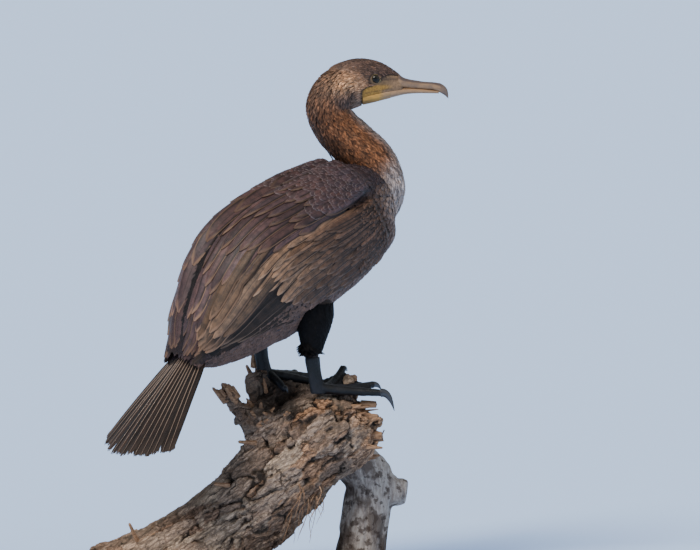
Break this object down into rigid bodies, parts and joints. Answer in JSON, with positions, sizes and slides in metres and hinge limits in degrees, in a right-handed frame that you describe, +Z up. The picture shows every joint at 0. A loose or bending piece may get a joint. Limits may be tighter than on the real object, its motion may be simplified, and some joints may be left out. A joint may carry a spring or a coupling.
{
  "type": "cormorant museum model",
  "caption": "Young cormorant standing with folded wings and turned head on a broken dead branch, held on a flat display base by short rods",
  "frame": {"origin": "on the floor, at the centre of the underside of the display base", "axes": "+X is the way the bird's body heads, +Y is its left side, +Z is up; the branch and the base are turned 35 degrees clockwise from +X as seen from above"},
  "size_m": [0.4965, 0.4324, 0.696],
  "materials": {
    "body_plumage": "matte",
    "flight_feathers": "satin",
    "covert_feathers": "satin",
    "neck_plumage": "matte",
    "bill": "satin",
    "pouch": "satin",
    "eye": "gloss",
    "leg": "satin",
    "claw": "gloss",
    "bark": "rough",
    "bare_wood": "rough",
    "stand_base": "satin",
    "stand_rod": "satin"
  },
  "bodies": {
    "root": {"torso": "body_plumage", "tail": "flight_feathers", "thigh_right": "body_plumage", "thigh_left": "body_plumage", "wing_right_primaries": "flight_feathers", "wing_right_secondaries": "flight_feathers", "wing_right_coverts": "covert_feathers", "wing_right_scapulars": "covert_feathers", "wing_left_primaries": "flight_feathers", "wing_left_secondaries": "flight_feathers", "wing_left_coverts": "covert_feathers", "wing_left_scapulars": "covert_feathers", "neck_lower": "neck_plumage", "neck_middle": "neck_plumage", "neck_upper": "neck_plumage", "head": "neck_plumage", "upper_bill": "bill", "lower_bill": "bill", "gular_pouch": "pouch", "eye_left": "eye", "eye_right": "eye", "shank_right": "leg", "foot_right": "leg", "claw_right_outer": "claw", "claw_right_middle": "claw", "claw_right_inner": "claw", "claw_right_hind": "claw", "shank_left": "leg", "foot_left": "leg", "claw_left_outer": "claw", "claw_left_middle": "claw", "claw_left_inner": "claw", "claw_left_hind": "claw", "perch_branch": "bark", "perch_fork": "bare_wood", "stand_rod_1": "stand_rod", "stand_rod_2": "stand_rod", "stand_base": "stand_base"}
  },
  "joints": []
}
